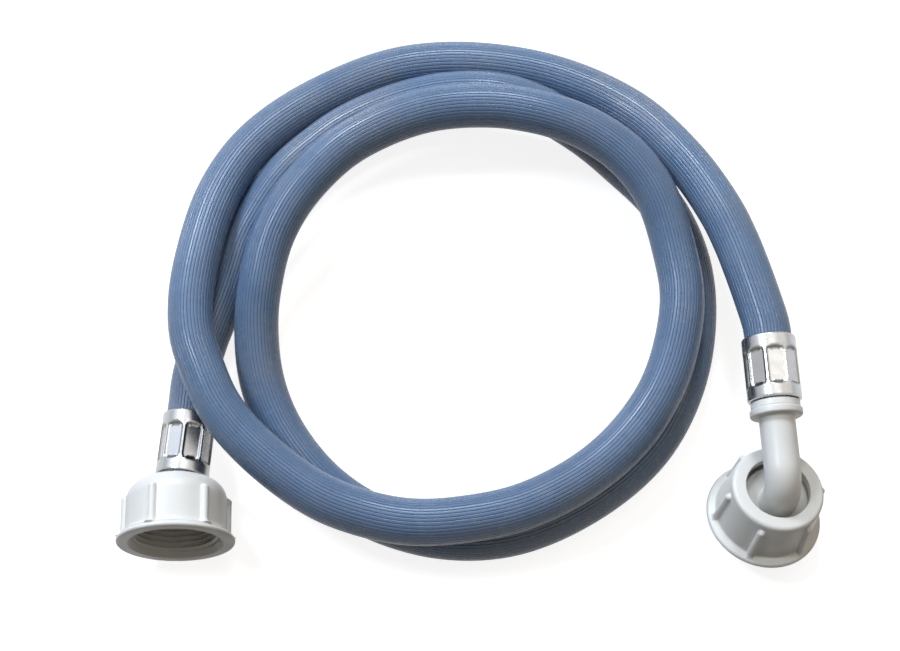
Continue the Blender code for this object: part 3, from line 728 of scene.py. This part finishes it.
def nut_rings(profile, rib_start, height):
    """The rings of a nut. Ribs stand on the profile's ribbed rows, and a thread in its hollow."""
    rings = []
    rib_end = height - SKIRT_THICKNESS
    for distance, radius, ribbed in profile:
        ring = []
        for angle, off in nut_angles():
            reach = radius
            if ribbed:
                reach += rib_lift(distance, off * NUT_BODY / 2, rib_start, rib_end)
            ring.append(Vector((reach * math.cos(angle), reach * math.sin(angle), distance)))
        rings.append(ring)
    thread_from = height - MOUTH_CHAMFER
    thread_to = NUT_LIP + THREAD_FROM_LIP
    steps = round((thread_from - thread_to) / THREAD_PITCH * THREAD_ROWS_PER_TURN)
    for step in range(steps + 1):
        distance = thread_from + (thread_to - thread_from) * step / steps
        run_in = eased((thread_from - distance) / THREAD_RUN_IN)
        run_in *= eased((distance - thread_to) / THREAD_RUN_IN)
        ring = []
        for angle, _ in nut_angles():
            turn = (distance / THREAD_PITCH + angle / (2 * math.pi)) % 1.0
            crest = 1.0 - abs(2.0 * turn - 1.0)
            radius = NUT_CAVITY / 2 - THREAD_DEPTH * run_in * eased(crest * THREAD_FULLNESS)
            ring.append(Vector((radius * math.cos(angle), radius * math.sin(angle), distance)))
        rings.append(ring)
    return rings


def skirt_profile(height, knee):
    """A nut's skirt, from the end of its straight side round the rim to the mouth."""
    rim = NUT_SKIRT / 2
    flat = height - SKIRT_THICKNESS
    flare = flat - LEDGE_FALL - knee
    side = []
    for step in range(1, KNEE_STEPS + 1):
        angle = step / KNEE_STEPS * math.pi / 2
        side.append((flare + knee * math.sin(angle), NUT_BODY / 2 + knee * (1 - math.cos(angle))))
    side += rounded_edge(flat, rim, SKIRT_BACK_ROUND, "face")
    side += rounded_edge(height, rim, SKIRT_FRONT_ROUND, "side")
    side.append((height, NUT_CAVITY / 2 + MOUTH_CHAMFER))
    return flare, side


elbow_flare, elbow_skirt = skirt_profile(ELBOW_NUT_HEIGHT, ELBOW_NUT_KNEE)
elbow_rim = rounded_edge(0.0, ELBOW_NUT_BACK / 2, ELBOW_NUT_RIM_ROUND, "face")
elbow_side = elbow_flare - ELBOW_NUT_RIM_ROUND
elbow_nut_profile = [(SHARP_EDGE, ELBOW_NUT_HOLE / 2, False), (0.0, ELBOW_NUT_HOLE / 2 + SHARP_EDGE, False)]
elbow_nut_profile += [(z, r, False) for z, r in elbow_rim]
for row in range(1, ELBOW_SIDE_ROWS + 1):
    down = row / ELBOW_SIDE_ROWS
    radius = ELBOW_NUT_BACK / 2 + (NUT_BODY - ELBOW_NUT_BACK) / 2 * down
    elbow_nut_profile.append((ELBOW_NUT_RIM_ROUND + elbow_side * down, radius, True))
elbow_nut_profile += [(z, r, z < ELBOW_NUT_HEIGHT - SKIRT_THICKNESS) for z, r in elbow_skirt]
elbow_nut_rings = nut_rings(elbow_nut_profile, ELBOW_NUT_RIB_START, ELBOW_NUT_HEIGHT)
elbow_nut_rings += turned([(NUT_LIP, NUT_CAVITY / 2), (NUT_LIP, ELBOW_NUT_HOLE / 2)],
                          RIBS * RIB_COLUMNS)


def nut_place(joint_name, turn):
    """Where a nut's back lies and how it is turned, from the hinge that it turns on."""
    joint = next(joint for joint in frame["joints"] if joint["name"] == joint_name)
    axis = Vector(joint["axis"]).normalized()
    return placing(Vector(joint["pos_m"]), axis, Vector((0.0, 0.0, 1.0)), turn)


elbow_nut = skin("ribbed_elbow_nut", elbow_nut_rings, nylon,
                 nut_place("elbow_nut_turn", ELBOW_NUT_TURN))
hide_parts("elbow_nut")
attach(elbow_nut, "elbow_nut")

# Straight tail's union nut
# The same nylon moulding with a domed shoulder that closes in to the neck, and ribs that start on
# the dome. It slips over the tail before that is crimped into the hose.
STRAIGHT_NUT_HEIGHT = 0.0205
STRAIGHT_NUT_HOLE = 0.0166
STRAIGHT_NUT_DOME = 0.0068
STRAIGHT_DOME_STEPS = 32
STRAIGHT_SIDE_ROWS = 20
STRAIGHT_NUT_RIB_START = 0.0052
STRAIGHT_NUT_KNEE = 0.0018
STRAIGHT_NUT_TURN = math.radians(49.5)

straight_flare, straight_skirt = skirt_profile(STRAIGHT_NUT_HEIGHT, STRAIGHT_NUT_KNEE)
crown = STRAIGHT_NUT_HOLE / 2 + EDGE_ROUND
straight_side = straight_flare - STRAIGHT_NUT_DOME
straight_nut_profile = [(SMALL_ROUND, STRAIGHT_NUT_HOLE / 2, False),
                        (0.0, STRAIGHT_NUT_HOLE / 2 + SMALL_ROUND, False)]
for step in range(STRAIGHT_DOME_STEPS + 1):
    angle = step / STRAIGHT_DOME_STEPS * math.pi / 2
    straight_nut_profile.append((STRAIGHT_NUT_DOME * (1 - math.cos(angle)),
                                 crown + (NUT_BODY / 2 - crown) * math.sin(angle), True))
for row in range(1, STRAIGHT_SIDE_ROWS + 1):
    down = STRAIGHT_NUT_DOME + straight_side * row / STRAIGHT_SIDE_ROWS
    straight_nut_profile.append((down, NUT_BODY / 2, True))
straight_nut_profile += [(z, r, z < STRAIGHT_NUT_HEIGHT - SKIRT_THICKNESS) for z, r in straight_skirt]
straight_nut_rings = nut_rings(straight_nut_profile, STRAIGHT_NUT_RIB_START, STRAIGHT_NUT_HEIGHT)
straight_nut_rings += turned([(NUT_LIP, NUT_CAVITY / 2), (NUT_LIP, STRAIGHT_NUT_HOLE / 2)],
                             RIBS * RIB_COLUMNS)

straight_nut = skin("ribbed_straight_nut", straight_nut_rings, nylon,
                    nut_place("straight_nut_turn", STRAIGHT_NUT_TURN))
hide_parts("straight_nut")
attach(straight_nut, "straight_nut")

# Floor
# A pale matt board. The camera and clear reflections see it as white, with the hose's soft
# shadow, and it throws little light back up.
FLOOR_SIZE = 6.0
FLOOR_SEEN = "#FFFFFF"
FLOOR_BOUNCE = "#3F3830"
FLOOR_LIT = "#BCBCBC"
FLOOR_GLOW = 0.85
BOARD_GRAIN_PER_METRE = 900.0

board = empty_material("painted_board")
board_place = add_node(board, "ShaderNodeTexCoord", {})
board_grain = add_node(board, "ShaderNodeTexNoise", {
    "Vector": (board_place, "Object"), "Scale": BOARD_GRAIN_PER_METRE, "Detail": 2.0})
board_bump = add_node(board, "ShaderNodeBump", {
    "Height": (board_grain, "Fac"), "Strength": 0.05, "Distance": 0.0001})
board_ray = add_node(board, "ShaderNodeLightPath", {})
board_clear = add_node(board, "ShaderNodeMath", {
    0: (board_ray, "Is Glossy Ray"), 1: (board_ray, "Is Transmission Ray")}, operation="MAXIMUM")
board_seen = add_node(board, "ShaderNodeMath", {
    0: (board_ray, "Is Camera Ray"), 1: (board_clear, "Value")}, operation="MAXIMUM")
board_dim = add_node(board, "ShaderNodeBsdfDiffuse", {
    "Color": linear(FLOOR_BOUNCE), "Normal": (board_bump, "Normal")})
board_lit = add_node(board, "ShaderNodeBsdfDiffuse", {
    "Color": linear(FLOOR_LIT), "Normal": (board_bump, "Normal")})
board_white = add_node(board, "ShaderNodeEmission", {"Color": linear(FLOOR_SEEN), "Strength": FLOOR_GLOW})
board_bright = add_node(board, "ShaderNodeAddShader", {
    0: (board_lit, "BSDF"), 1: (board_white, "Emission")})
board_surface = add_node(board, "ShaderNodeMixShader", {
    "Fac": (board_seen, "Value"), 1: (board_dim, "BSDF"), 2: (board_bright, "Shader")})
add_node(board, "ShaderNodeOutputMaterial", {"Surface": (board_surface, "Shader")})

half = FLOOR_SIZE / 2
floor_mesh = bpy.data.meshes.new("floor")
floor_mesh.from_pydata([(-half, -half, 0.0), (half, -half, 0.0), (half, half, 0.0), (-half, half, 0.0)], [],
                       [(0, 1, 2, 3)])
floor_mesh.materials.append(board)
floor = bpy.data.objects.new("floor", floor_mesh)
bpy.context.collection.objects.link(floor)

# Light
# A broad cool window to the left and behind, three bright panes of it that draw a thin line along
# each turn, a wide lamp overhead, and weak warm ones on the right and in front. The room is dim and
# brown, and the camera and clear reflections see it as white.
LAMP_DISTANCE = 1.3
LIGHT_AS_WRITTEN = math.pi ** 2 * LAMP_DISTANCE ** 2
ROOM_SEEN = "#FFFFFF"
ROOM_COLOUR = "#FFDDB4"
ROOM_STRENGTH = 0.03


def soft_lamp(name, way, size, colour, level):
    """A square lamp that faces the coil's middle. At level 1 a colour renders as it is written."""
    lamp = bpy.data.lights.new(name, "AREA")
    lamp.shape = "SQUARE"
    lamp.size = size
    lamp.color = linear(colour)[:3]
    lamp.energy = level * LIGHT_AS_WRITTEN
    made = bpy.data.objects.new(name, lamp)
    made.location = COIL_CENTRE + way.normalized() * LAMP_DISTANCE
    made.rotation_euler = way.to_track_quat("Z", "Y").to_euler()
    bpy.context.collection.objects.link(made)


soft_lamp("window", Vector((-0.55, 0.58, 0.60)), 1.0, "#D6E6FF", 0.23)
soft_lamp("left_pane", Vector((-0.49, 0.20, 0.845)), 0.20, "#EAF3FF", 0.33)
soft_lamp("middle_pane", Vector((-0.44, 0.66, 0.63)), 0.20, "#EAF3FF", 0.43)
soft_lamp("back_pane", Vector((0.0, 0.71, 0.70)), 0.20, "#EAF3FF", 0.37)
soft_lamp("overhead", Vector((0.14, 0.30, 0.94)), 0.7, "#FFF6E8", 0.15)
soft_lamp("warm_side", Vector((0.70, 0.35, 0.62)), 0.9, "#FFEBD2", 0.10)
soft_lamp("front_fill", Vector((0.30, -0.30, 0.90)), 0.9, "#FFF4E4", 0.07)

room = bpy.data.worlds.new("room")
room.use_nodes = True
room.node_tree.nodes.clear()
room_ray = add_node(room, "ShaderNodeLightPath", {})
room_clear = add_node(room, "ShaderNodeMath", {
    0: (room_ray, "Is Glossy Ray"), 1: (room_ray, "Is Transmission Ray")}, operation="MAXIMUM")
room_seen = add_node(room, "ShaderNodeMath", {
    0: (room_ray, "Is Camera Ray"), 1: (room_clear, "Value")}, operation="MAXIMUM")
room_dim = add_node(room, "ShaderNodeBackground", {
    "Color": linear(ROOM_COLOUR), "Strength": ROOM_STRENGTH})
room_white = add_node(room, "ShaderNodeBackground", {"Color": linear(ROOM_SEEN), "Strength": 1.0})
room_mix = add_node(room, "ShaderNodeMixShader", {
    "Fac": (room_seen, "Value"), 1: (room_dim, "Background"), 2: (room_white, "Background")})
add_node(room, "ShaderNodeOutputWorld", {"Surface": (room_mix, "Shader")})
bpy.context.scene.world = room
bpy.context.scene.view_settings.view_transform = "Standard"
